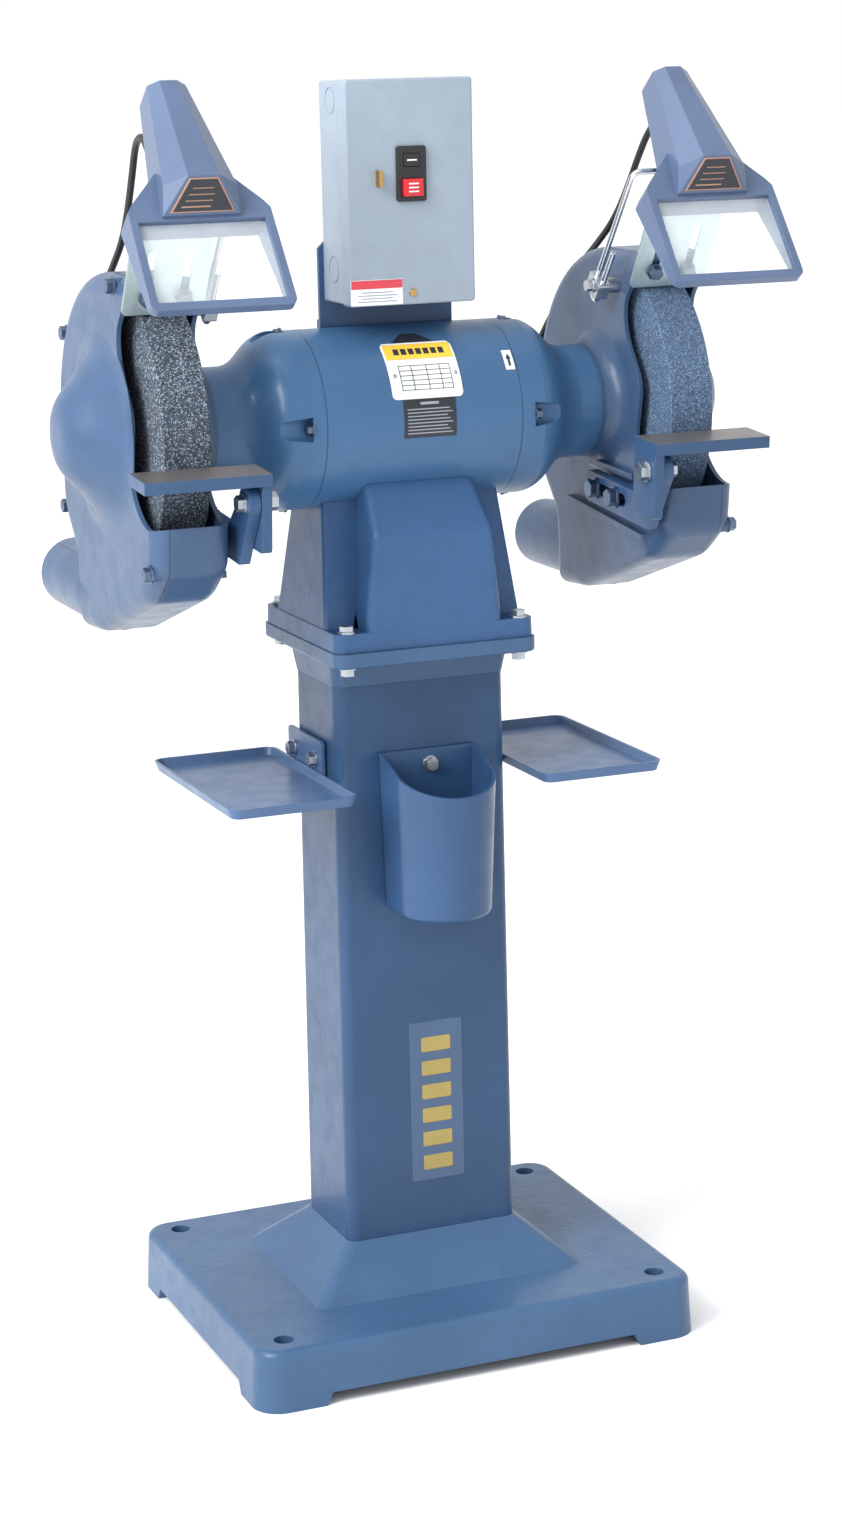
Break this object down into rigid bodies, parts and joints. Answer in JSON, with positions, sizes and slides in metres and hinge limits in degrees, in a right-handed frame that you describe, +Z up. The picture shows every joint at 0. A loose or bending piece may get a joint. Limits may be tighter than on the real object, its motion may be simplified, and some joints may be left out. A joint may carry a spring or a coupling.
{
  "type": "pedestal bench grinder",
  "caption": "Double-ended bench grinder on a square pedestal, with wheel guards, lit eye shields, tool rests, switch box, trays and water pot.",
  "frame": {"origin": "centre of the four anchor holes in the pedestal base, at floor level", "axes": "+Z up along the column, +X along the spindle to the operator's right, -Y towards the operator"},
  "size_m": [0.752, 0.5202, 1.3863],
  "materials": {
    "grey_blue_paint": "glossy grey-blue enamel over cast iron and steel",
    "shield_moulding": "periwinkle moulded plastic",
    "clear_lens": "clear safety lens",
    "light_grey_paint": "pale grey-blue enamel on sheet steel",
    "black_plastic": "black moulded plastic",
    "red_plastic": "red button",
    "zinc_steel": "zinc plated steel",
    "plated_sheet": "pale zinc plated sheet",
    "bright_rod": "bright plated rod",
    "coarse_grit": "coarse vitrified abrasive",
    "fine_grit": "fine vitrified abrasive",
    "cable_rubber": "black rubber sheath",
    "laminations": "stacked steel laminations",
    "winding_copper": "varnished copper wire",
    "brass": "plain brass",
    "plate_aluminium": "printed aluminium plate",
    "bulb_glass": "frosted bulb glass"
  },
  "bodies": {
    "pedestal_and_motor": {"base_casting": "grey_blue_paint", "column": "grey_blue_paint", "collar_flange": "grey_blue_paint", "grinder_base": "grey_blue_paint", "flange_bolts": "zinc_steel", "motor_shell": "grey_blue_paint", "end_bells": "grey_blue_paint", "end_bell_bolts": "zinc_steel", "stator_core": "laminations", "stator_windings": "winding_copper", "bearings": "zinc_steel", "guard_bolts": "zinc_steel", "shield_studs": "zinc_steel", "switch_bracket": "grey_blue_paint", "accessory_bolts": "zinc_steel", "switch_box": "light_grey_paint", "switch_cover": "light_grey_paint", "button_bezel": "black_plastic", "starter": "black_plastic", "hasp": "brass", "cover_screw": "zinc_steel", "nameplate": "plate_aluminium", "trays": "grey_blue_paint", "water_pot": "grey_blue_paint", "left_guard_body": "grey_blue_paint", "right_guard_body": "grey_blue_paint", "left_guard_cover": "grey_blue_paint", "right_guard_cover": "grey_blue_paint", "left_lamp_lead": "cable_rubber", "right_lamp_lead": "cable_rubber"},
    "spindle": {"shaft": "zinc_steel", "rotor_core": "laminations", "wheel_flanges": "zinc_steel", "spindle_nuts": "zinc_steel", "left_wheel": "coarse_grit", "right_wheel": "fine_grit"},
    "left_arm": {"left_rest_arm": "grey_blue_paint", "left_rest_pivot_bolt": "zinc_steel"},
    "left_table": {"left_tool_rest": "grey_blue_paint"},
    "left_spark_plate_slider": {"left_spark_plate": "plated_sheet"},
    "left_shield_arm": {"left_shield_rod": "bright_rod", "left_shield_clamp": "bright_rod", "left_lead_gland": "black_plastic"},
    "left_eye_shield": {"left_shield_housing": "shield_moulding", "left_shield_lens": "clear_lens", "left_lamp_socket": "black_plastic", "left_lamp_bulb": "bulb_glass"},
    "right_arm": {"right_rest_arm": "grey_blue_paint", "right_rest_pivot_bolt": "zinc_steel"},
    "right_table": {"right_tool_rest": "grey_blue_paint"},
    "right_spark_plate_slider": {"right_spark_plate": "plated_sheet"},
    "right_shield_arm": {"right_shield_rod": "bright_rod", "right_shield_clamp": "bright_rod", "right_lead_gland": "black_plastic"},
    "right_eye_shield": {"right_shield_housing": "shield_moulding", "right_shield_lens": "clear_lens", "right_lamp_socket": "black_plastic", "right_lamp_bulb": "bulb_glass"},
    "start_button": {"start_button": "black_plastic"},
    "stop_button": {"stop_button": "red_plastic"}
  },
  "joints": [
    {"name": "spindle_spin", "type": "hinge", "parent": "pedestal_and_motor", "child": "spindle", "pos_m": [0, 0, 1.0283], "axis": [1, 0, 0], "continuous": true},
    {"name": "left_arm_slide", "type": "slide", "parent": "pedestal_and_motor", "child": "left_arm", "axis": [0, -0.9962, -0.0872], "range_m": [0, 0.017]},
    {"name": "left_table_tilt", "type": "hinge", "parent": "left_arm", "child": "left_table", "pos_m": [-0.2235, -0.185, 0.972], "axis": [1, 0, 0], "range_deg": [0, 25]},
    {"name": "left_spark_plate_slide", "type": "slide", "parent": "pedestal_and_motor", "child": "left_spark_plate_slider", "axis": [0, -0.515, 0.8572], "range_m": [0, 0.007]},
    {"name": "left_shield_swing", "type": "hinge", "parent": "pedestal_and_motor", "child": "left_shield_arm", "pos_m": [-0.222, -0.0505, 1.15708], "axis": [-1, 0, 0], "range_deg": [-8, 30], "deforming": ["left_lamp_lead"]},
    {"name": "left_shield_tilt", "type": "hinge", "parent": "left_shield_arm", "child": "left_eye_shield", "pos_m": [-0.2775, -0.138, 1.28], "axis": [1, 0, 0], "range_deg": [-4, 20]},
    {"name": "right_arm_slide", "type": "slide", "parent": "pedestal_and_motor", "child": "right_arm", "axis": [0, -0.9962, -0.0872], "range_m": [0, 0.017]},
    {"name": "right_table_tilt", "type": "hinge", "parent": "right_arm", "child": "right_table", "pos_m": [0.2235, -0.185, 0.972], "axis": [1, 0, 0], "range_deg": [0, 25]},
    {"name": "right_spark_plate_slide", "type": "slide", "parent": "pedestal_and_motor", "child": "right_spark_plate_slider", "axis": [0, -0.515, 0.8572], "range_m": [0, 0.007]},
    {"name": "right_shield_swing", "type": "hinge", "parent": "pedestal_and_motor", "child": "right_shield_arm", "pos_m": [0.222, -0.0505, 1.15708], "axis": [-1, 0, 0], "range_deg": [-8, 30], "deforming": ["right_lamp_lead"]},
    {"name": "right_shield_tilt", "type": "hinge", "parent": "right_shield_arm", "child": "right_eye_shield", "pos_m": [0.2775, -0.138, 1.28], "axis": [1, 0, 0], "range_deg": [-4, 20]},
    {"name": "start_button_press", "type": "slide", "parent": "pedestal_and_motor", "child": "start_button", "axis": [0, 1, 0], "range_m": [0, 0.004], "stiffness_N_per_m": 400},
    {"name": "stop_button_press", "type": "slide", "parent": "pedestal_and_motor", "child": "stop_button", "axis": [0, 1, 0], "range_m": [0, 0.004], "stiffness_N_per_m": 400}
  ]
}
